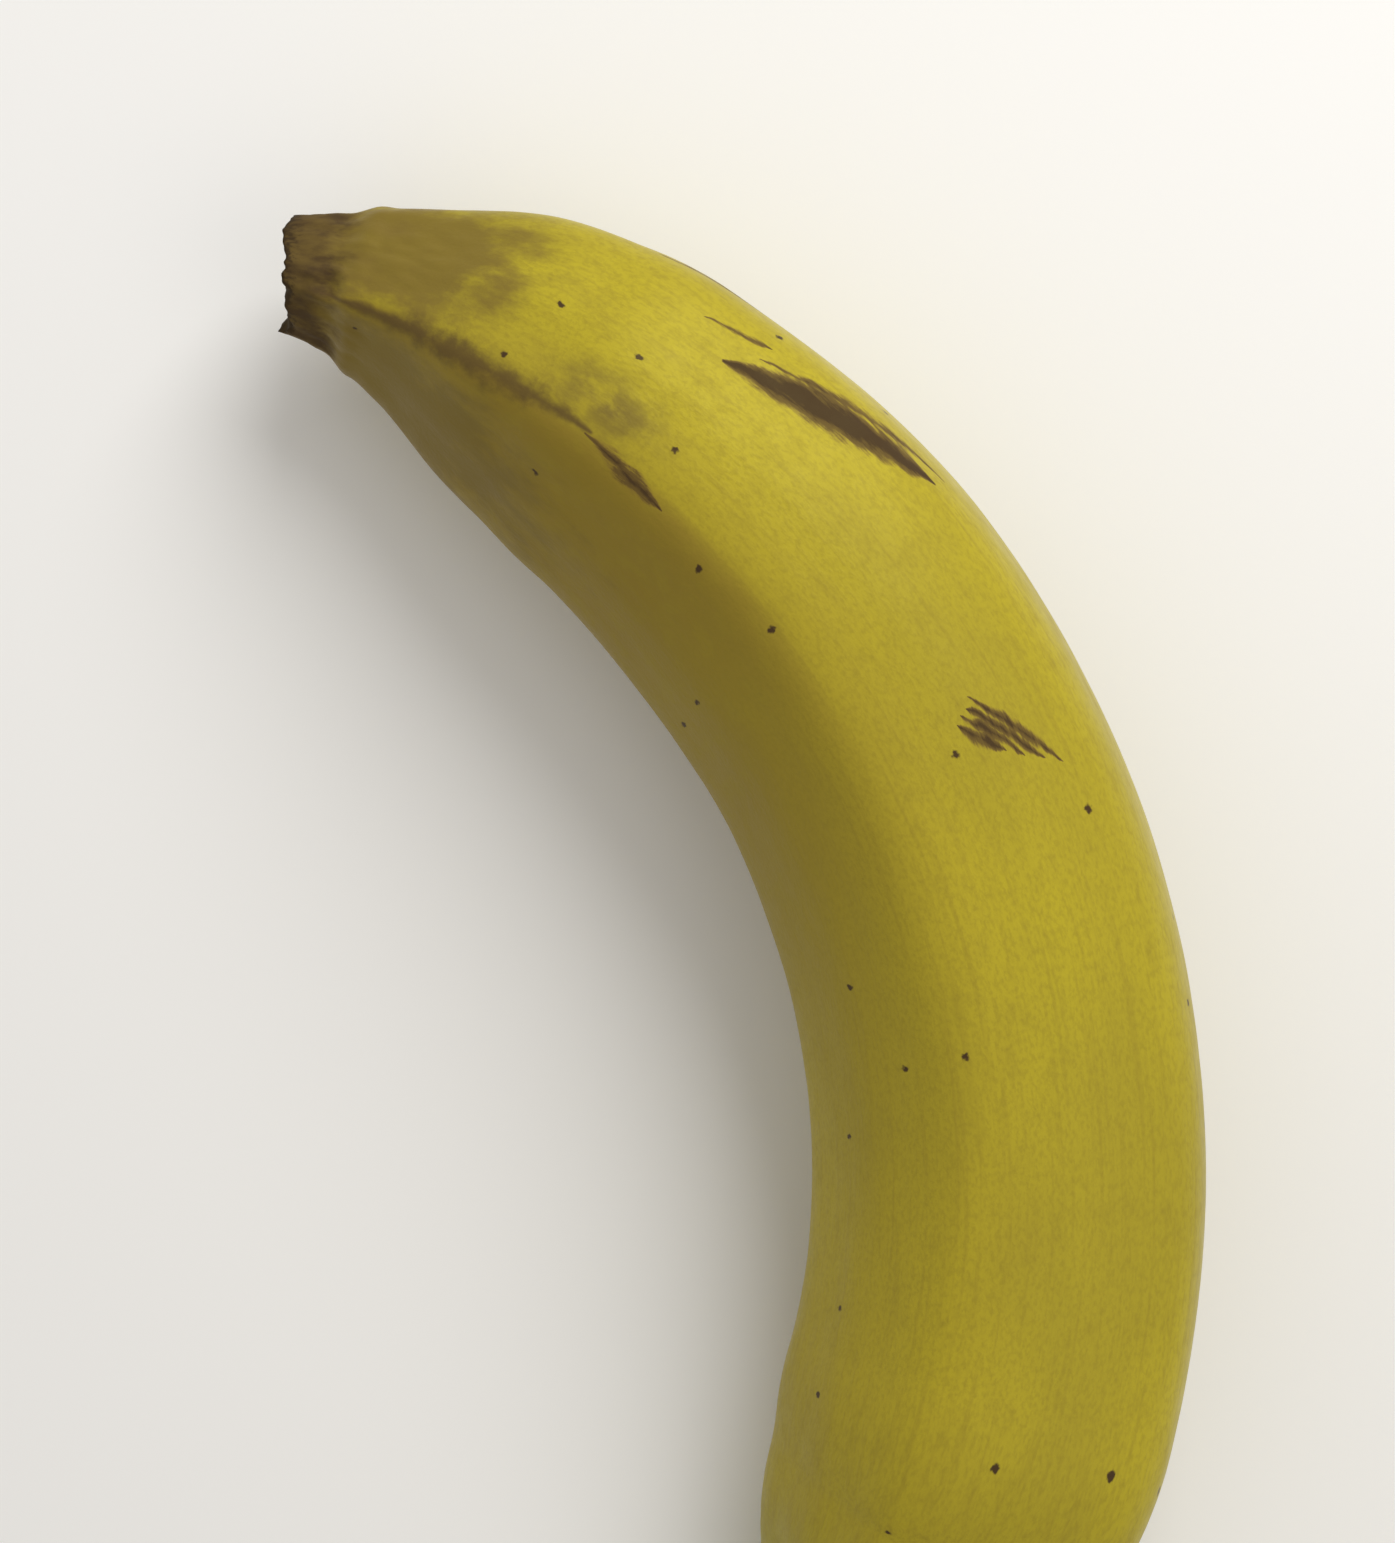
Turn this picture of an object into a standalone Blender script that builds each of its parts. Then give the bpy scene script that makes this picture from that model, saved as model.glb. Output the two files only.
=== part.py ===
"""A ripe banana, picked as a single fruit and lying on its side.

The peel, the stem and the dried blossom tip grew as one piece, so the fruit is
one solid. It is a loft: a five-ridged section swept along a curved centreline.
+X runs from the blossom tip to the cut stem, +Y to the outer side of the curve
and +Z up. The origin is on the resting surface, under the middle of the fruit.
"""

import math

import bmesh
import bpy
import numpy as np

# Driving dimensions, in metres and radians.
LENGTH = 0.205  # along the centreline, from the blossom tip to the cut stem
FLATNESS = 0.97  # height of the section over its width
RIDGES = 5
RIDGE_ANGLE = math.radians(36)  # first ridge, up from the outer side
RIDGE_EDGE = 0.25  # share of a second harmonic that tightens each ridge
TIP_DROP = 0.004  # how far a tapering end may sag to stay near the surface
REST_DEPTH = 0.0005  # how deep the underside is pressed flat where it rests

# Distance from the blossom tip, and the radius that the centreline bends on there.
BEND_RADII = (
    (0.000, 0.036),
    (0.018, 0.073),
    (0.036, 0.097),
    (0.075, 0.089),
    (0.115, 0.086),
    (0.145, 0.097),
    (0.175, 0.160),
    (LENGTH, 0.220),
)
# Distance from the blossom tip, and half the width of the fruit there.
HALF_WIDTHS = (
    (0.000, 0.0058),
    (0.004, 0.0070),
    (0.012, 0.0099),
    (0.029, 0.0153),
    (0.040, 0.0167),
    (0.075, 0.0183),
    (0.110, 0.0187),
    (0.138, 0.0188),
    (0.152, 0.0175),
    (0.166, 0.0134),
    (0.178, 0.0086),
    (0.190, 0.0060),
    (0.200, 0.0059),
    (LENGTH, 0.0069),
)
# Distance from the blossom tip, and the height of the ridges over the radius.
RIDGE_HEIGHTS = (
    (0.000, 0.030),
    (0.015, 0.042),
    (0.040, 0.034),
    (0.080, 0.026),
    (0.130, 0.026),
    (0.160, 0.040),
    (0.185, 0.060),
    (LENGTH, 0.040),
)

# Share of the end's radius and depth below its rim, of each ring that closes an end.
TIP_FACE = ((0.80, -0.0002), (0.52, 0.0006), (0.24, 0.0013))
STEM_FACE = ((0.84, -0.0001), (0.55, 0.0004), (0.25, 0.0006))
TIP_RAGGED = 0.0006  # unevenness of the blossom tip's rim
STEM_RAGGED = 0.0005  # unevenness of the cut across the stem

RINGS = 62  # sections along the fruit
SIDES = 40  # points round a section
END_CROWDING = 0.55  # 0 spaces the sections evenly, 1 crowds them at the ends
CURVE_STEPS = 2000  # steps that the centreline is summed over

PEEL_COLOUR = (0.36, 0.27, 0.035, 1.0)
TIP_COLOUR = (0.045, 0.026, 0.012, 1.0)
STEM_COLOUR = (0.20, 0.15, 0.035, 1.0)
TIP_LENGTH = 0.004
STEM_CUT_LENGTH = 0.002


def clear_scene():
    for thing in list(bpy.data.objects):
        bpy.data.objects.remove(thing, do_unlink=True)


def through(stations, where):
    """A smooth curve through the stations that doesn't overshoot them."""
    at, value = (np.array(column) for column in zip(*stations))
    steps = np.diff(at)
    slopes = np.diff(value) / steps
    tangents = np.empty(len(at))
    tangents[0], tangents[-1] = slopes[0], slopes[-1]
    product = slopes[:-1] * slopes[1:]
    total = slopes[:-1] + slopes[1:]
    harmonic = 2 * product / np.where(total == 0, 1, total)
    tangents[1:-1] = np.where(product > 0, harmonic, 0)
    cell = np.clip(np.searchsorted(at, where) - 1, 0, len(steps) - 1)
    t = (where - at[cell]) / steps[cell]
    left = value[cell] + t * steps[cell] * tangents[cell]
    right = value[cell + 1] - (1 - t) * steps[cell] * tangents[cell + 1]
    blend = t * t * (3 - 2 * t)
    return left + (right - left) * blend


def centreline(where):
    """Points of the flat centreline, turned so that its two ends lie along X."""
    s = np.linspace(0, LENGTH, CURVE_STEPS + 1)
    step = LENGTH / CURVE_STEPS
    heading = -np.cumsum(1 / through(BEND_RADII, s[1:])) * step
    x = np.concatenate([[0], np.cumsum(np.cos(heading)) * step])
    y = np.concatenate([[0], np.cumsum(np.sin(heading)) * step])
    chord = math.atan2(y[-1], x[-1])
    along = x * math.cos(chord) + y * math.sin(chord)
    across = y * math.cos(chord) - x * math.sin(chord)
    return np.interp(where, s, along), np.interp(where, s, across)


def ring_distances():
    """Where the sections are, crowded towards the two ends."""
    even = np.linspace(0, 1, RINGS)
    crowded = (1 - np.cos(math.pi * even)) / 2
    return LENGTH * (even + END_CROWDING * (crowded - even))


def section_share(angle, height):
    """The radius round a section as a share of the half width."""
    turn = RIDGES * (angle - RIDGE_ANGLE)
    return 1 + height * (np.cos(turn) + RIDGE_EDGE * np.cos(2 * turn))


def uneven(angle):
    """A wobble round an end, between about -1 and 1."""
    return 0.5 * np.sin(2 * angle + 0.7) + 0.3 * np.sin(5 * angle) + 0.2 * np.sin(9 * angle + 2)


def frames(s):
    """Centre, tangent, outward and upward directions at each distance."""
    x, y = centreline(s)
    half_height = FLATNESS * through(HALF_WIDTHS, s)
    deepest = half_height.max()
    drop = TIP_DROP * np.tanh((deepest - half_height) / TIP_DROP)
    centres = np.stack([x, y, deepest - REST_DEPTH - drop], axis=1)
    tangents = np.gradient(centres, s, axis=0)
    tangents /= np.linalg.norm(tangents, axis=1, keepdims=True)
    outward = np.stack([-tangents[:, 1], tangents[:, 0], np.zeros(len(s))], axis=1)
    outward /= np.linalg.norm(outward, axis=1, keepdims=True)
    upward = np.cross(tangents, outward)
    return centres, tangents, outward, upward


def loft_points():
    """Rows of points: the rings that close the tip, the body and the stem's cut."""
    s = ring_distances()
    centres, tangents, outward, upward = frames(s)
    angles = np.linspace(0, 2 * math.pi, SIDES, endpoint=False)
    widths = through(HALF_WIDTHS, s)
    heights = through(RIDGE_HEIGHTS, s)

    def ring(i, share, inset, ragged):
        radius = share * widths[i] * section_share(angles, heights[i])
        along = inset + ragged * uneven(angles) * share
        return (
            centres[i]
            + np.outer(radius * np.cos(angles), outward[i])
            + np.outer(radius * np.sin(angles) * FLATNESS, upward[i])
            + np.outer(along, tangents[i])
        )

    tip_rings = [ring(0, share, depth, TIP_RAGGED) for share, depth in reversed(TIP_FACE)]
    stem_rings = [ring(-1, share, -depth, STEM_RAGGED) for share, depth in STEM_FACE]
    body = [ring(i, 1, 0, 0) for i in range(1, RINGS - 1)]
    first = ring(0, 1, 0, TIP_RAGGED)
    last = ring(-1, 1, 0, STEM_RAGGED)
    tip_centre = centres[0] + tangents[0] * TIP_FACE[-1][1]
    stem_centre = centres[-1] - tangents[-1] * STEM_FACE[-1][1]
    return tip_centre, [*tip_rings, first, *body, last, *stem_rings], stem_centre


def placed(rows, tip_centre, stem_centre):
    """Moves the fruit over the origin and presses its underside flat at z = 0."""
    cloud = np.concatenate([np.concatenate(rows), [tip_centre, stem_centre]])
    middle = (cloud.min(axis=0) + cloud.max(axis=0)) / 2
    cloud -= (middle[0], middle[1], 0)
    cloud[:, 2] = np.maximum(cloud[:, 2], 0)
    return cloud


def build_mesh():
    tip_centre, rows, stem_centre = loft_points()
    cloud = placed(rows, tip_centre, stem_centre)
    shape = bmesh.new()
    points = [shape.verts.new(point) for point in cloud]
    rings = [points[i * SIDES : (i + 1) * SIDES] for i in range(len(rows))]
    tip, stem = points[-2:]
    for i in range(SIDES):
        j = (i + 1) % SIDES
        shape.faces.new((tip, rings[0][i], rings[0][j]))
        shape.faces.new((stem, rings[-1][j], rings[-1][i]))
        for lower, upper in zip(rings, rings[1:]):
            shape.faces.new((lower[i], upper[i], upper[j], lower[j]))
    bmesh.ops.recalc_face_normals(shape, faces=shape.faces)
    mesh = bpy.data.meshes.new("banana")
    shape.to_mesh(mesh)
    shape.free()
    mesh.shade_smooth()
    return mesh


def make_material(name, colour, roughness):
    material = bpy.data.materials.new(name)
    material.use_nodes = True
    surface = material.node_tree.nodes["Principled BSDF"]
    surface.inputs["Base Color"].default_value = colour
    surface.inputs["Roughness"].default_value = roughness
    surface.inputs["Metallic"].default_value = 0.0
    material.diffuse_color = colour
    return material


def paint(mesh):
    """Peel all over, with the dried tip and the cut stem as their own materials."""
    mesh.materials.append(make_material("peel", PEEL_COLOUR, 0.42))
    mesh.materials.append(make_material("dried_tip", TIP_COLOUR, 0.85))
    mesh.materials.append(make_material("stem_cut", STEM_COLOUR, 0.8))
    s = ring_distances()
    tip_rows = len(TIP_FACE) + int(np.searchsorted(s, TIP_LENGTH))
    cut_rows = len(STEM_FACE) + int(RINGS - np.searchsorted(s, LENGTH - STEM_CUT_LENGTH))
    tip_end = tip_rows * SIDES
    cut_start = (len(TIP_FACE) + RINGS + len(STEM_FACE) - cut_rows) * SIDES
    tip_index, stem_index = len(mesh.vertices) - 2, len(mesh.vertices) - 1
    for face in mesh.polygons:
        corners = [v for v in face.vertices if v not in (tip_index, stem_index)]
        if max(corners) < tip_end:
            face.material_index = 1
        elif min(corners) >= cut_start:
            face.material_index = 2


def main():
    clear_scene()
    mesh = build_mesh()
    paint(mesh)
    banana = bpy.data.objects.new("banana", mesh)
    bpy.context.scene.collection.objects.link(banana)


main()
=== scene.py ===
"""The looks of a ripe banana lying on its side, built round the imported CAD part.

The visible fruit is one fine mesh. It repeats the part's loft at about half a
millimetre and adds what the CAD leaves out: crests on the ridges, the ragged
dried tip, the stem's fibres and its torn cut. The peel's colours and bruises
are placed by how far along and how far round the fruit they lie.
"""

import math

import bpy
import numpy as np
from mathutils import Matrix, Vector, noise


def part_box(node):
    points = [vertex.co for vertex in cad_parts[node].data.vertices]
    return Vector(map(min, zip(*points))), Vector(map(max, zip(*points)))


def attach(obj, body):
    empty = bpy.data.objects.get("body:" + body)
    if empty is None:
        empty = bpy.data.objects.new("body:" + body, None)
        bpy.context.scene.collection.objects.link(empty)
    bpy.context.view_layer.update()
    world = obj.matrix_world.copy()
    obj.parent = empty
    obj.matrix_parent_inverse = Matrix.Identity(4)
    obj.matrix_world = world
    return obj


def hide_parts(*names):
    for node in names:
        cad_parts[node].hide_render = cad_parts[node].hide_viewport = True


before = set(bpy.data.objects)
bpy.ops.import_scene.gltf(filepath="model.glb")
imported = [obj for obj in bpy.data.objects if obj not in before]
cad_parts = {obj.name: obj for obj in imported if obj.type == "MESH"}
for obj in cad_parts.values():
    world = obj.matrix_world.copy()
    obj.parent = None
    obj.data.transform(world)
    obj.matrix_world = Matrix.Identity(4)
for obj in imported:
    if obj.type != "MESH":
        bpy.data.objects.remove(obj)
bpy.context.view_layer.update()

# The part's driving dimensions, in metres and radians, as in the CAD.
LENGTH = 0.205
FLATNESS = 0.97
RIDGES = 5
RIDGE_ANGLE = math.radians(36)
RIDGE_EDGE = 0.25
TIP_DROP = 0.004
REST_DEPTH = 0.0005
BEND_RADII = (
    (0.000, 0.036),
    (0.018, 0.073),
    (0.036, 0.097),
    (0.075, 0.089),
    (0.115, 0.086),
    (0.145, 0.097),
    (0.175, 0.160),
    (LENGTH, 0.220),
)
HALF_WIDTHS = (
    (0.000, 0.0058),
    (0.004, 0.0070),
    (0.012, 0.0099),
    (0.029, 0.0153),
    (0.040, 0.0167),
    (0.075, 0.0183),
    (0.110, 0.0187),
    (0.138, 0.0188),
    (0.152, 0.0175),
    (0.166, 0.0134),
    (0.178, 0.0086),
    (0.190, 0.0060),
    (0.200, 0.0059),
    (LENGTH, 0.0069),
)
RIDGE_HEIGHTS = (
    (0.000, 0.030),
    (0.015, 0.042),
    (0.040, 0.034),
    (0.080, 0.026),
    (0.130, 0.026),
    (0.160, 0.040),
    (0.185, 0.060),
    (LENGTH, 0.040),
)

# How far the fine mesh's ridges stand out from the CAD's rounder ones.
CREST_HEIGHTS = (
    (0.000, 0.0003),
    (0.012, 0.0007),
    (0.035, 0.0005),
    (0.070, 0.0003),
    (0.100, 0.0004),
    (0.150, 0.0005),
    (0.170, 0.0008),
    (LENGTH, 0.0005),
)

# The fine mesh.
BODY_ROWS = 396
CAP_ROWS = 15
SIDES = 228
CURVE_STEPS = 2000
MM = 0.001

# The camera looks straight down, with the blossom tip at the top of the picture.
CAMERA_HEIGHT = 0.336
LENS_MM = 78
VIEW_CENTRE = (-0.0280, -0.0044)
VIEW_ROLL = math.radians(-12.27)


# --- The shape -------------------------------------------------------------


def through(stations, where):
    """A smooth curve through the stations that doesn't overshoot them."""
    at, value = (np.array(column) for column in zip(*stations))
    steps = np.diff(at)
    slopes = np.diff(value) / steps
    tangents = np.empty(len(at))
    tangents[0], tangents[-1] = slopes[0], slopes[-1]
    product = slopes[:-1] * slopes[1:]
    total = slopes[:-1] + slopes[1:]
    harmonic = 2 * product / np.where(total == 0, 1, total)
    tangents[1:-1] = np.where(product > 0, harmonic, 0)
    cell = np.clip(np.searchsorted(at, where) - 1, 0, len(steps) - 1)
    t = (where - at[cell]) / steps[cell]
    left = value[cell] + t * steps[cell] * tangents[cell]
    right = value[cell + 1] - (1 - t) * steps[cell] * tangents[cell + 1]
    blend = t * t * (3 - 2 * t)
    return left + (right - left) * blend


def centreline(where):
    """Points of the flat centreline, turned so that its two ends lie along X."""
    s = np.linspace(0, LENGTH, CURVE_STEPS + 1)
    step = LENGTH / CURVE_STEPS
    heading = -np.cumsum(1 / through(BEND_RADII, s[1:])) * step
    x = np.concatenate([[0], np.cumsum(np.cos(heading)) * step])
    y = np.concatenate([[0], np.cumsum(np.sin(heading)) * step])
    chord = math.atan2(y[-1], x[-1])
    along = x * math.cos(chord) + y * math.sin(chord)
    across = y * math.cos(chord) - x * math.sin(chord)
    return np.interp(where, s, along), np.interp(where, s, across)


def frames(s):
    """Centre, tangent, outward and upward directions at each distance."""
    x, y = centreline(s)
    half_height = FLATNESS * through(HALF_WIDTHS, s)
    deepest = FLATNESS * max(width for _, width in HALF_WIDTHS)
    drop = TIP_DROP * np.tanh((deepest - half_height) / TIP_DROP)
    centres = np.stack([x, y, deepest - REST_DEPTH - drop], axis=1)
    tangents = np.gradient(centres, s, axis=0)
    tangents /= np.linalg.norm(tangents, axis=1, keepdims=True)
    outward = np.stack([-tangents[:, 1], tangents[:, 0], np.zeros(len(s))], axis=1)
    outward /= np.linalg.norm(outward, axis=1, keepdims=True)
    upward = np.cross(tangents, outward)
    return centres, tangents, outward, upward


def ease(start, end, where):
    """A smooth step from 0 at start to 1 at end."""
    share = np.clip((where - start) / (end - start), 0, 1)
    return share * share * (3 - 2 * share)


def bump_at(where, middle, width):
    """A soft hill, 1 at the middle and near 0 two widths away."""
    return np.exp(-(((where - middle) / width) ** 2))


def angle_from(angle, middle_degrees):
    """Signed angle in radians from a place round the fruit."""
    return (angle - math.radians(middle_degrees) + math.pi) % (2 * math.pi) - math.pi


def noise_at(points, cells, seed):
    """Perlin noise, about -1 to 1, at points given in metres, with cells (metres) per axis."""
    scaled = points / np.array(cells) + 17.3 * seed
    flat = scaled.reshape(-1, 3).tolist()
    return np.array([noise.noise(p) for p in flat]).reshape(points.shape[:-1])


def straightened(s, angle, radius):
    """Points of the fruit as if it weren't bent, so that patterns have no seam."""
    return np.stack([s, radius * np.cos(angle), radius * np.sin(angle)], axis=-1)


def relief(s, angle, straight):
    """How far each point stands off the CAD's smooth loft, in metres."""
    stem = ease(158 * MM, 182 * MM, s)
    # Broad unevenness, then the slight puckers of ripe peel.
    high = 0.22 * MM * noise_at(straight, (26 * MM, 11 * MM, 11 * MM), 1)
    high += 0.07 * MM * noise_at(straight, (9 * MM, 3.4 * MM, 3.4 * MM), 2)
    high += 0.025 * MM * noise_at(straight, (4 * MM, 1.3 * MM, 1.3 * MM), 3)
    # A crest on each ridge with flat faces between, sharpest near the two ends.
    crest = through(CREST_HEIGHTS, s[:, 0])[:, None]
    for j in range(RIDGES):
        off = angle_from(angle, 36 + 72 * j + 2 * math.sin(j * 2.1))
        high += crest * (np.exp(-np.sqrt(off**2 + 0.07**2) / 0.30) - 0.22)
    # A collar where the flesh meets the dried tip.
    high += MM * (0.28 * bump_at(s, 7.2 * MM, 1.1 * MM) - 0.25 * bump_at(s, 4.8 * MM, 1.2 * MM))
    # The drying tip shrivels into lengthwise folds.
    folds = noise_at(straight, (9 * MM, 1.1 * MM, 1.1 * MM), 4)
    high += 0.30 * MM * folds * (1 - ease(1 * MM, 13 * MM, s))
    shrivelled = bump_at(s, 11 * MM, 7 * MM) * bump_at(angle_from(angle, 62), 0, 0.6)
    high += 0.16 * MM * shrivelled * noise_at(straight, (5 * MM, 1.0 * MM, 1.0 * MM), 5)
    # A small sunken scar beside the tip, with a raised rim.
    scar_arc = angle_from(angle, 103) * 7.2 * MM
    scar = np.hypot(s - 4.6 * MM, scar_arc)
    high += MM * (-0.55 * bump_at(scar, 0, 1.0 * MM) + 0.16 * bump_at(scar, 1.9 * MM, 0.45 * MM))
    # Fibres along the stem, and creases where the neck bends.
    fibres = noise_at(straight, (30 * MM, 2.2 * MM, 2.2 * MM), 6)
    high += 0.26 * MM * fibres * stem
    creases = noise_at(straight, (1.6 * MM, 7 * MM, 7 * MM), 7)
    high += 0.05 * MM * creases * bump_at(s, 168 * MM, 9 * MM)
    return high


def end_rows(share):
    """Radius share and depth of the rings that close an end: a hollowed, broken face."""
    return share, 1.3 * MM * (1 - share**2) ** 1.5


def fruit_grid():
    """Along, around, radius share and inset of every row, from tip face to stem cut."""
    even = np.linspace(0, 1, BODY_ROWS)
    crowded = (1 - np.cos(math.pi * even)) / 2
    s_body = LENGTH * (even + 0.35 * (crowded - even))
    cap = np.linspace(0, 1, CAP_ROWS + 1)[1:] ** 0.8
    share, depth = end_rows(cap[:-1])
    s = np.concatenate([np.zeros(CAP_ROWS - 1), s_body, np.full(CAP_ROWS - 1, LENGTH)])
    shares = np.concatenate([share, np.ones(BODY_ROWS), share[::-1]])
    insets = np.concatenate([depth, np.zeros(BODY_ROWS), -0.5 * depth[::-1]])
    return s, shares, insets


def fruit_points():
    """Positions of all rows, the two end centres, and each point's place on the fruit."""
    s, shares, insets = fruit_grid()
    angle = np.linspace(0, 2 * math.pi, SIDES, endpoint=False)
    s_map, angle_map = np.meshgrid(s, angle, indexing="ij")
    centres, tangents, outward, upward = frames(np.unique(s))
    row = np.searchsorted(np.unique(s), s)
    centres, tangents = centres[row], tangents[row]
    outward, upward = outward[row], upward[row]
    width = through(HALF_WIDTHS, s)
    turn = RIDGES * (angle_map - RIDGE_ANGLE)
    ridge = through(RIDGE_HEIGHTS, s)[:, None]
    section = 1 + ridge * (np.cos(turn) + RIDGE_EDGE * np.cos(2 * turn))
    radius = width[:, None] * section
    straight = straightened(s_map, angle_map, width[:, None] * np.ones_like(angle_map))
    lift = relief(s_map, angle_map, straight)
    radius = (radius + lift) * shares[:, None]
    # The faces of both ends are broken and their rims ragged.
    face = straightened(s_map, angle_map, radius)
    broken = noise_at(face, (2.4 * MM,) * 3, 8) + 0.35 * noise_at(face, (0.8 * MM,) * 3, 9)
    at_tip = np.exp(-s_map / (1.4 * MM))
    at_cut = np.exp(-(LENGTH - s_map) / (1.2 * MM))
    along = insets[:, None] + broken * (1.3 * MM * at_tip + 0.8 * MM * at_cut)
    points = centres[:, None] + (radius * np.cos(angle_map))[..., None] * outward[:, None]
    points = points + (radius * np.sin(angle_map) * FLATNESS)[..., None] * upward[:, None]
    points = points + along[..., None] * tangents[:, None]
    ends = np.stack([points[0].mean(axis=0), points[-1].mean(axis=0)])
    return points, ends, s_map, angle_map, straight


def fit_to_cad(points, ends):
    """Puts the fruit where the CAD part is, inside its box and flat where it rests."""
    low, high = (np.array(corner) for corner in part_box("banana"))
    cloud = np.concatenate([points.reshape(-1, 3), ends])
    cloud[:, :2] += (low + high)[:2] / 2 - (cloud.min(axis=0) + cloud.max(axis=0))[:2] / 2
    cloud[:, 2] = np.maximum(cloud[:, 2], 0)
    room = (high - low) / (cloud.max(axis=0) - cloud.min(axis=0))
    cloud *= np.minimum(room, 1)
    return cloud


def fruit_faces(rows):
    """Quads between the rows and triangles round the two end centres."""
    ring = np.arange(SIDES)
    following = (ring + 1) % SIDES
    faces = []
    for row in range(rows - 1):
        lower, upper = row * SIDES, (row + 1) * SIDES
        quads = np.stack([lower + ring, lower + following, upper + following, upper + ring], 1)
        faces.extend(quads.tolist())
    tip, stem = rows * SIDES, rows * SIDES + 1
    last = (rows - 1) * SIDES
    faces.extend(np.stack([np.full(SIDES, tip), following, ring], 1).tolist())
    faces.extend(np.stack([np.full(SIDES, stem), last + ring, last + following], 1).tolist())
    return faces


def give_places(mesh, s_map, angle_map, straight, rows):
    """Stores where each vertex lies on the fruit, for the peel's patterns."""
    arc = ((angle_map + math.pi / 2) % (2 * math.pi) - math.pi / 2) * 17 * MM
    unrolled = np.stack([s_map, arc, np.zeros_like(arc)], axis=-1).reshape(-1, 3)
    ends = np.array([[0.0, 0.0, 0.0], [LENGTH, 0.0, 0.0]])
    for name, values in (("straight", straight.reshape(-1, 3)), ("unrolled", unrolled)):
        layer = mesh.attributes.new(name, "FLOAT_VECTOR", "POINT")
        layer.data.foreach_set("vector", np.concatenate([values, ends]).astype(np.float32).ravel())


def make_fruit():
    points, ends, s_map, angle_map, straight = fruit_points()
    cloud = fit_to_cad(points, ends)
    mesh = bpy.data.meshes.new("banana_fruit")
    mesh.from_pydata(cloud.tolist(), [], fruit_faces(len(points)))
    mesh.update()
    give_places(mesh, s_map, angle_map, straight, len(points))
    mesh.shade_smooth()
    fruit = bpy.data.objects.new("banana_fruit", mesh)
    bpy.context.scene.collection.objects.link(fruit)
    return fruit


# --- The peel --------------------------------------------------------------


class Nodes:
    """Short names for the shader nodes that the peel is built from."""

    def __init__(self, tree):
        self.tree = tree

    def add(self, kind, values=None, **settings):
        made = self.tree.nodes.new("ShaderNode" + kind)
        for name, value in settings.items():
            setattr(made, name, value)
        for key, value in (values or {}).items():
            self.put(made.inputs[key], value)
        return made

    def put(self, socket, value):
        if isinstance(value, bpy.types.NodeSocket):
            self.tree.links.new(value, socket)
        else:
            socket.default_value = value

    def place(self, name):
        return self.add("Attribute", attribute_name=name).outputs["Vector"]

    def math(self, operation, a, b=0.0, clamp=False):
        return self.add("Math", {0: a, 1: b}, operation=operation, use_clamp=clamp).outputs[0]

    def vector(self, operation, *values, output="Vector"):
        made = self.add("VectorMath", dict(enumerate(values)), operation=operation)
        return made.outputs[output]

    def noise(self, place, stretch, size, detail=2.0, roughness=0.5, warp=0.0):
        """Noise of a cell size in metres, drawn out along the fruit by stretch."""
        scaled = self.vector("MULTIPLY", place, (1 / stretch, 1, 1))
        made = self.add(
            "TexNoise",
            {"Vector": scaled, "Scale": 1 / size, "Detail": detail, "Roughness": roughness, "Distortion": warp},
        )
        return made.outputs["Fac"]

    def step(self, value, start, end, low=0.0, high=1.0):
        """A smooth step of value, from low at start to high at end."""
        values = {"Value": value, "From Min": start, "From Max": end, "To Min": low, "To Max": high}
        made = self.add("MapRange", values, interpolation_type="SMOOTHSTEP")
        return made.outputs["Result"]

    def line(self, value, start, end, low=0.0, high=1.0):
        values = {"Value": value, "From Min": start, "From Max": end, "To Min": low, "To Max": high}
        return self.add("MapRange", values).outputs["Result"]

    def mix(self, share, a, b, blend="MIX"):
        made = self.add("Mix", data_type="RGBA", blend_type=blend)
        self.put(made.inputs["Factor"], share)
        self.put(made.inputs[6], a)
        self.put(made.inputs[7], b)
        return made.outputs[2]

    def most(self, values):
        """The greatest of several values."""
        top = values[0]
        for value in values[1:]:
            top = self.math("MAXIMUM", top, value)
        return top


def peel_point(along_mm, around_degrees):
    """A place on the unrolled peel."""
    return Vector((along_mm * MM, math.radians(around_degrees) * 17 * MM, 0))


def streak(n, place, start, end, half_width, strength):
    """A mark from start to end, widest in the middle and running out at both ends."""
    a, b = peel_point(*start), peel_point(*end)
    run = b - a
    offset = n.vector("SUBTRACT", place, a)
    share = n.vector("DOT_PRODUCT", offset, run / run.length_squared, output="Value")
    share = n.math("ADD", share, 0.0, clamp=True)
    nearest = n.vector("SCALE", run)
    n.put(nearest.node.inputs["Scale"], share)
    gap = n.vector("DISTANCE", offset, nearest, output="Value")
    from_middle = n.line(share, 0.0, 1.0, -1.0, 1.0)
    taper = n.math("SUBTRACT", 1.12, n.math("MULTIPLY", from_middle, from_middle))
    reach = n.math("MULTIPLY", taper, half_width * MM)
    return n.line(n.math("DIVIDE", gap, reach), 0.0, 1.0, strength, 0.0)


# Marks on the peel: start and end (mm along, degrees round), half width in mm, strength.
LONG_BRUISE = ((41, 57), (60, 38), 2.3, 1.25)
LONG_BRUISE_BRANCH = ((43, 49), (60, 31), 0.9, 0.72)
RIDGE_PATCH = ((36, 105.5), (46, 108.5), 1.25, 0.9)
OUTER_SCUFF = ((31, 31), (42, 19), 1.1, 0.70)
THIN_SCRATCH = ((37, 48), (43, 43), 0.5, 0.75)
RIDGE_SCUFF = ((4, 110), (36, 104), 3.0, 1.0)

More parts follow.
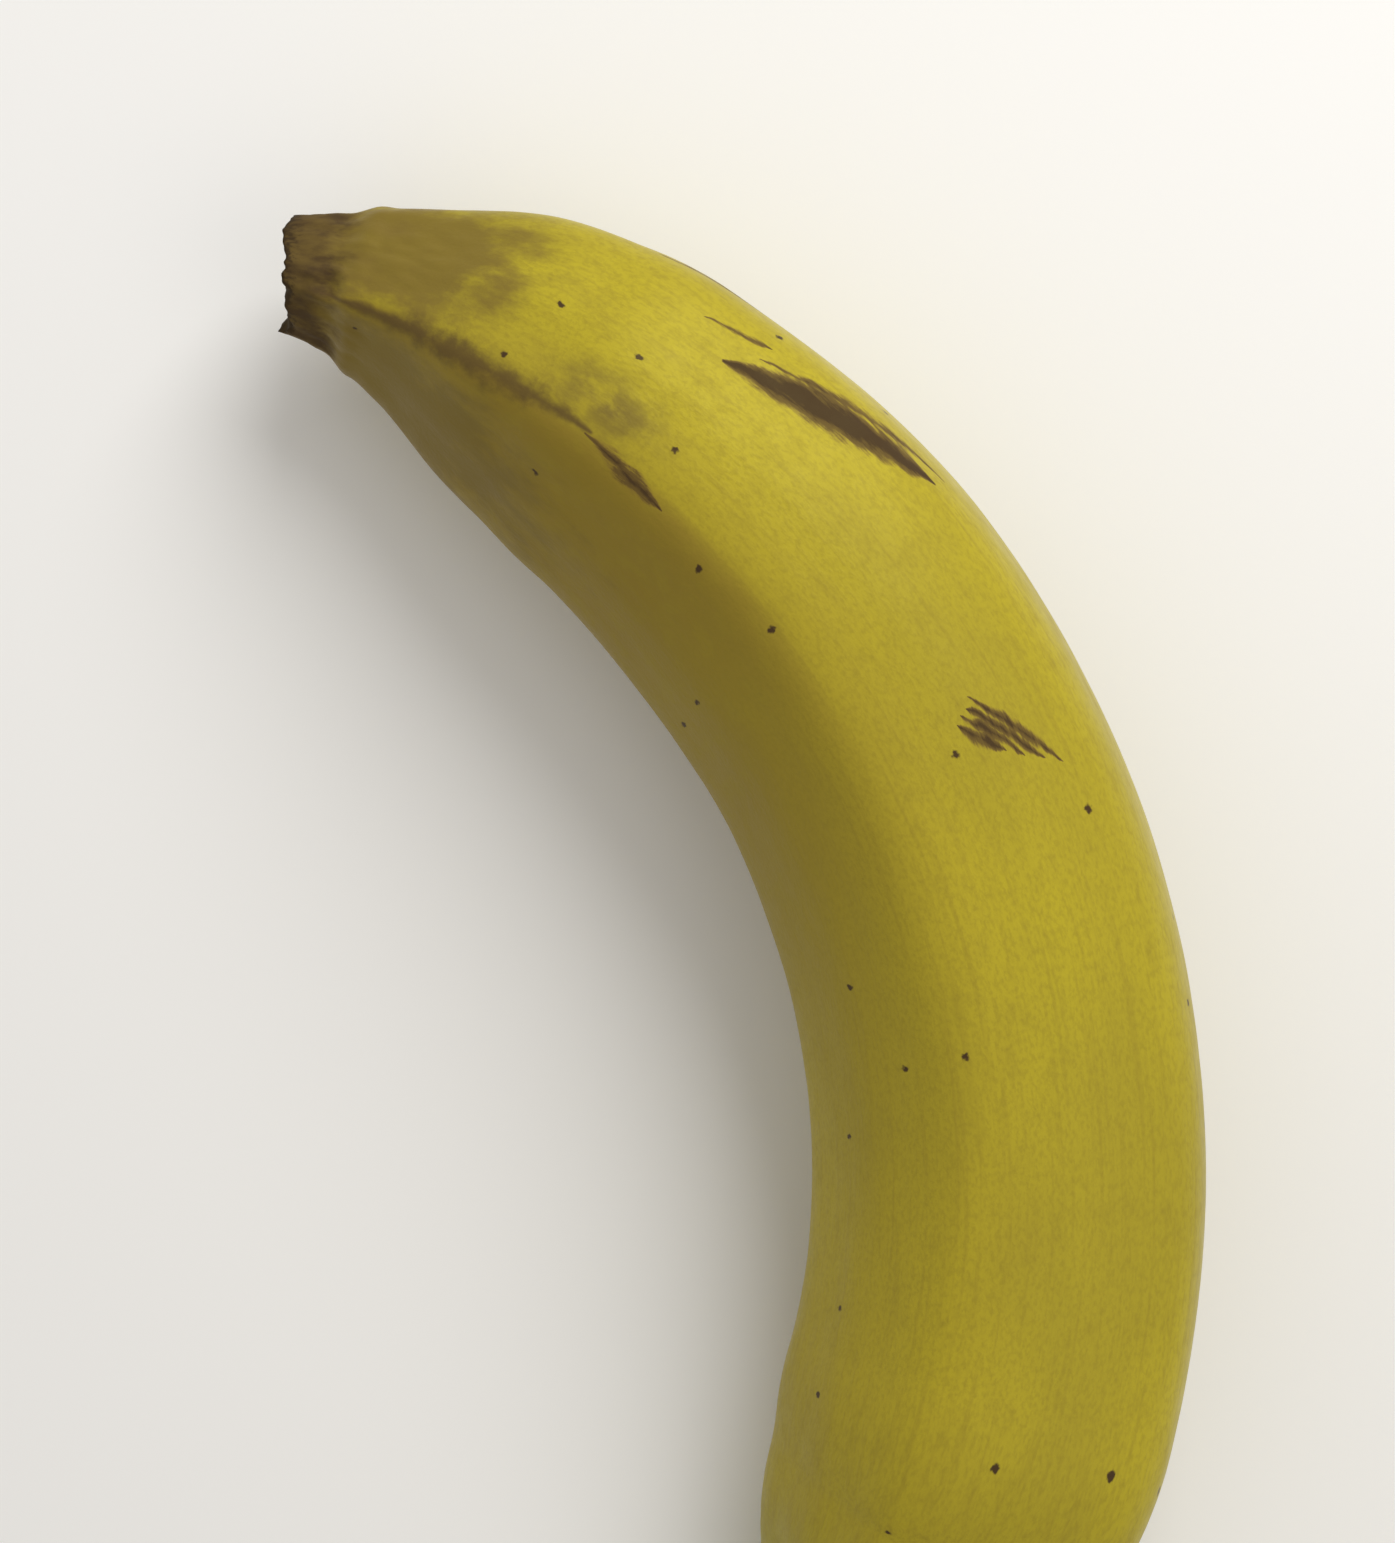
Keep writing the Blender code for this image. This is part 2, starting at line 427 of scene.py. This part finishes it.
# Short scratches side by side, each set off from the one before and shorter than it.
SCRATCH_COUNT = 4
SCRATCH_START = (76, 71)
SCRATCH_STEP = (0.5, 2.3)
SCRATCH_RUN = (8, -19)
SCRATCH_SHORTER = 0.16
SCRATCH_HALF_WIDTH = 0.8

# Specks: the size of the cells that can hold one, and the share of cells left empty.
SPECK_SPACING = 9 * MM
SPECK_EMPTY_SHARE = 0.66


def scratches(n, place):
    """The short scratches side by side on the main face."""
    parts = []
    for j in range(SCRATCH_COUNT):
        along = SCRATCH_START[0] + j * SCRATCH_STEP[0]
        around = SCRATCH_START[1] + j * SCRATCH_STEP[1]
        share = 1 - j * SCRATCH_SHORTER
        end = (along + share * SCRATCH_RUN[0], around + share * SCRATCH_RUN[1])
        parts.append(streak(n, place, (along, around), end, SCRATCH_HALF_WIDTH, 0.95))
    return parts


def bruise_mask(n, unrolled, straight):
    """Where the peel is bruised, 0 to about 1, with edges that fray along the fibres."""
    fray = n.noise(straight, 9, 0.38 * MM, detail=4, roughness=0.7)
    ragged = n.noise(straight, 2.2, 1.3 * MM, detail=4, roughness=0.65)
    stretched = n.vector("MULTIPLY", straight, (0.25, 1, 1))
    shift = n.add("TexNoise", {"Vector": stretched, "Scale": 1 / (1.9 * MM), "Detail": 3.0})
    sway = n.vector("SUBTRACT", shift.outputs["Color"], (0.5, 0.5, 0.5))
    moved = n.vector("MULTIPLY_ADD", sway, (2.0 * MM, 1.1 * MM, 0), unrolled)
    parts = scratches(n, moved)
    for mark in (LONG_BRUISE, LONG_BRUISE_BRANCH, RIDGE_PATCH, OUTER_SCUFF, THIN_SCRATCH):
        parts.append(streak(n, moved, *mark))
    marks = n.most(parts)
    torn = n.math("ADD", n.line(fray, 0.25, 0.75, -0.34, 0.22), n.line(ragged, 0.25, 0.75, -0.26, 0.20))
    # The fraying fades out with the mark, so that sound peel stays clean.
    return n.math("ADD", marks, n.math("MULTIPLY", torn, n.step(marks, 0.0, 0.25)))


def blob(n, place, at, semi_along, semi_around):
    """1 at the middle of an oval on the unrolled peel, 0 at its rim. Sizes in mm and degrees."""
    scale = (1 / (semi_along * MM), 1 / (math.radians(semi_around) * 17 * MM), 0)
    gap = n.vector("MULTIPLY", n.vector("SUBTRACT", place, peel_point(*at)), scale)
    return n.line(n.vector("LENGTH", gap, output="Value"), 0.0, 1.0, 1.0, 0.0)


def speck_mask(n, unrolled, straight):
    """Small dark specks scattered over the whole fruit, ragged in outline."""
    shift = n.add("TexNoise", {"Vector": straight, "Scale": 1 / (0.5 * MM), "Detail": 2.0})
    sway = n.vector("SUBTRACT", shift.outputs["Color"], (0.5, 0.5, 0.5))
    moved = n.vector("MULTIPLY_ADD", sway, (0.7 * MM, 0.7 * MM, 0), unrolled)
    values = {"Vector": moved, "Scale": 1 / SPECK_SPACING}
    cells = n.add("TexVoronoi", values, voronoi_dimensions="2D")
    chance = n.add("SeparateXYZ", {"Vector": cells.outputs["Color"]}).outputs["X"]
    chosen = n.line(chance, SPECK_EMPTY_SHARE, SPECK_EMPTY_SHARE + 0.03)
    near = n.line(cells.outputs["Distance"], 0.0, 0.055, 1.2, 0.0)
    return n.math("MULTIPLY", near, chosen)


def smudge_mask(n, unrolled):
    """A grey-brown patch under the skin beside the main ridge."""
    return blob(n, unrolled, (36, 94), 8, 15)


def ridge_scuff_mask(n, unrolled, patchy):
    """The soft dark line along the ridge by the tip."""
    line = streak(n, unrolled, *RIDGE_SCUFF)
    return n.step(n.math("ADD", line, n.line(patchy, 0.25, 0.75, -0.35, 0.35)), 0.15, 1.0)


def peel_colour(n):
    """The peel's colour, and how dry it is, 0 for waxy peel and 1 for dead tissue."""
    straight, unrolled = n.place("straight"), n.place("unrolled")
    along = n.add("SeparateXYZ", {"Vector": unrolled}).outputs["X"]
    split = n.add("SeparateXYZ", {"Vector": straight})
    # Painted shade: the inner side, turned from the key light, is browned in the colour itself, most towards the
    # tip and in a sharp step just past the main ridge.
    inner_painted_shade = n.line(split.outputs["Y"], 4 * MM, -16 * MM)
    inner_painted_shade = n.math("MULTIPLY", inner_painted_shade, n.line(along, 75 * MM, 110 * MM, 0.70, 0.30))
    around = n.add("SeparateXYZ", {"Vector": unrolled}).outputs["Y"]
    beyond_ridge = n.step(around, math.radians(100) * 17 * MM, math.radians(109) * 17 * MM)
    far_side = n.step(around, math.radians(170) * 17 * MM, math.radians(215) * 17 * MM, 1.0, 0.0)
    ridge_painted_shade = n.math("MULTIPLY", beyond_ridge, far_side)
    ridge_painted_shade = n.math("MULTIPLY", ridge_painted_shade, n.step(along, 45 * MM, 105 * MM, 0.80, 0.0))
    inner_painted_shade = n.math("MAXIMUM", inner_painted_shade, ridge_painted_shade)

    # Ripe yellow, mottled at three sizes, with painted shade that browns and darkens the inner side.
    broad = n.noise(straight, 2.2, 16 * MM, detail=2)
    fine = n.noise(straight, 1.3, 2.0 * MM, detail=4, roughness=0.6)
    grain = n.noise(straight, 1.7, 0.36 * MM, detail=3, roughness=0.6)
    fibre = n.noise(straight, 34, 0.7 * MM, detail=2, roughness=0.6)
    colour = n.mix(n.step(broad, 0.3, 0.7), (0.480, 0.395, 0.026, 1), (0.400, 0.325, 0.027, 1))
    colour = n.mix(inner_painted_shade, colour, (0.245, 0.160, 0.028, 1))
    colour = n.mix(n.step(fine, 0.45, 0.75, 0.0, 0.35), colour, (0.340, 0.265, 0.026, 1))
    colour = n.mix(n.step(grain, 0.38, 0.72, 0.0, 0.38), colour, (0.265, 0.200, 0.024, 1))
    colour = n.mix(n.step(fibre, 0.48, 0.74, 0.0, 0.30), colour, (0.290, 0.215, 0.026, 1))

    # Grey-brown smudges under the skin.
    smudge = n.math("MULTIPLY", smudge_mask(n, unrolled), n.step(fine, 0.3, 0.65))
    colour = n.mix(n.math("MULTIPLY", smudge, 0.95), colour, (0.165, 0.115, 0.030, 1))

    # The neck and stem keep some green and turn brown towards the cut.
    stem = n.step(along, 150 * MM, 178 * MM)
    stem_colour = n.mix(n.step(fibre, 0.30, 0.70), (0.330, 0.310, 0.042, 1), (0.270, 0.235, 0.038, 1))
    colour = n.mix(n.math("MULTIPLY", stem, 0.8), colour, stem_colour)
    streaky = n.noise(straight, 9, 1.4 * MM, detail=3, roughness=0.6)
    browned = n.math("ADD", n.line(along, 183 * MM, 204 * MM), n.line(streaky, 0.3, 0.7, -0.22, 0.22))
    browned = n.step(browned, 0.30, 1.0)
    colour = n.mix(browned, colour, (0.10, 0.062, 0.028, 1))

    # The tip: olive, then brown, then nearly black at the broken end.
    patchy = n.noise(straight, 2.6, 2.6 * MM, detail=4, roughness=0.6)
    torn = n.line(patchy, 0.25, 0.75, -0.34, 0.34)
    stain = n.most([blob(n, unrolled, (9, 66), 21, 58), blob(n, unrolled, (4, 152), 48, 56)])
    stain = n.step(n.math("ADD", stain, n.line(patchy, 0.25, 0.75, -0.22, 0.22)), 0.12, 0.55)
    colour = n.mix(n.math("MULTIPLY", stain, 0.92), colour, (0.200, 0.140, 0.029, 1))
    reach = n.line(along, 20 * MM, 1 * MM)
    dull = n.step(n.math("ADD", reach, torn), 0.40, 0.95)
    colour = n.mix(n.math("MULTIPLY", dull, 0.8), colour, (0.190, 0.130, 0.030, 1))
    dead = n.step(n.math("ADD", n.line(along, 8.0 * MM, 2.5 * MM), torn), 0.3, 0.9)
    brown = n.mix(n.step(patchy, 0.38, 0.66), (0.135, 0.088, 0.026, 1), (0.070, 0.042, 0.020, 1))
    colour = n.mix(dead, colour, brown)
    black = n.math("ADD", n.line(along, 1.8 * MM, 0), n.line(grain, 0.3, 0.7, -0.3, 0.3))
    black = n.step(black, 0.35, 0.95)
    colour = n.mix(black, colour, (0.045, 0.027, 0.014, 1))
    cut = n.step(n.math("ADD", n.line(along, 202.5 * MM, 205 * MM), n.line(grain, 0.3, 0.7, -0.2, 0.2)), 0.5, 1.0)
    colour = n.mix(cut, colour, (0.045, 0.030, 0.018, 1))

    # Bruises darken from tan at their edges through brown to a dark core.
    scuff = ridge_scuff_mask(n, unrolled, fine)
    colour = n.mix(n.math("MULTIPLY", scuff, 0.85), colour, (0.105, 0.064, 0.026, 1))
    bruise = bruise_mask(n, unrolled, straight)
    colour = n.mix(n.step(bruise, 0.06, 0.34, 0.0, 0.7), colour, (0.225, 0.150, 0.030, 1))
    colour = n.mix(n.step(bruise, 0.26, 0.50, 0.0, 0.9), colour, (0.120, 0.073, 0.024, 1))
    colour = n.mix(n.step(bruise, 0.52, 0.90), colour, (0.062, 0.035, 0.017, 1))
    speck = speck_mask(n, unrolled, straight)
    colour = n.mix(n.step(speck, 0.15, 0.75), colour, (0.060, 0.034, 0.018, 1))

    dry = n.most([dead, browned, n.step(bruise, 0.2, 0.7, 0.0, 0.6)])
    return colour, dry, grain, fibre, fine


def peel_material():
    material = bpy.data.materials.new("banana_peel")
    material.use_nodes = True
    n = Nodes(material.node_tree)
    surface = material.node_tree.nodes["Principled BSDF"]
    colour, dry, grain, fibre, fine = peel_colour(n)
    n.put(surface.inputs["Base Color"], colour)
    gloss = n.math("ADD", n.line(fine, 0.3, 0.7, 0.34, 0.46), n.math("MULTIPLY", dry, 0.35))
    n.put(surface.inputs["Roughness"], gloss)
    surface.inputs["IOR"].default_value = 1.36
    surface.inputs["Specular IOR Level"].default_value = 0.32
    surface.inputs["Specular Tint"].default_value = (1.0, 0.92, 0.35, 1)
    height = n.math("ADD", n.math("MULTIPLY", grain, 0.5), n.math("MULTIPLY", fibre, 0.35))
    bump = n.add("Bump", {"Height": height, "Distance": 0.10 * MM, "Strength": 0.6})
    n.put(surface.inputs["Normal"], bump.outputs["Normal"])
    return material


# --- The room --------------------------------------------------------------


def view_axes():
    """The picture's right and up directions, in the row's frame."""
    down = Vector((math.cos(VIEW_ROLL), math.sin(VIEW_ROLL), 0))
    right = Vector((-math.sin(VIEW_ROLL), math.cos(VIEW_ROLL), 0))
    return right, -down


def make_camera():
    right, up = view_axes()
    data = bpy.data.cameras.new("camera")
    data.lens = LENS_MM
    data.sensor_width = 36
    camera = bpy.data.objects.new("camera", data)
    turn = Matrix((right, up, Vector((0, 0, 1)))).transposed().to_4x4()
    camera.matrix_world = Matrix.Translation((*VIEW_CENTRE, CAMERA_HEIGHT)) @ turn
    bpy.context.scene.collection.objects.link(camera)
    bpy.context.scene.camera = camera


def soft_light(name, side, up_share, height, size, power, colour):
    """A square lamp over the fruit, placed by the picture's right and up, aimed at it."""
    right, up = view_axes()
    data = bpy.data.lights.new(name, "AREA")
    data.shape = "DISK"
    data.size = size
    data.energy = power
    data.color = colour
    lamp = bpy.data.objects.new(name, data)
    lamp.location = right * side + up * up_share + Vector((0, 0, height))
    lamp.rotation_euler = lamp.location.to_track_quat("Z", "Y").to_euler()
    bpy.context.scene.collection.objects.link(lamp)
    return lamp


def make_floor():
    mesh = bpy.data.meshes.new("floor")
    reach = 3.0
    corners = [(-reach, -reach, 0), (reach, -reach, 0), (reach, reach, 0), (-reach, reach, 0)]
    mesh.from_pydata(corners, [], [(0, 1, 2, 3)])
    floor = bpy.data.objects.new("floor", mesh)
    bpy.context.scene.collection.objects.link(floor)
    material = bpy.data.materials.new("floor_white")
    material.use_nodes = True
    surface = material.node_tree.nodes["Principled BSDF"]
    surface.inputs["Base Color"].default_value = (0.93, 0.93, 0.92, 1)
    surface.inputs["Roughness"].default_value = 0.9
    mesh.materials.append(material)


def light_room():
    world = bpy.data.worlds.new("room")
    world.use_nodes = True
    back = world.node_tree.nodes["Background"]
    back.inputs["Color"].default_value = (1.0, 0.97, 0.93, 1)
    back.inputs["Strength"].default_value = 0.50
    bpy.context.scene.world = world
    soft_light("key", 0.20, 0.47, 0.42, 0.42, 2.7, (1.0, 0.99, 0.97))
    soft_light("fill", 0.50, -0.25, 0.70, 0.60, 0.6, (1.0, 0.94, 0.88))
    bpy.context.scene.view_settings.view_transform = "Standard"


fruit = make_fruit()
fruit.data.materials.append(peel_material())
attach(fruit, "root")
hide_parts("banana")
make_floor()
make_camera()
light_room()
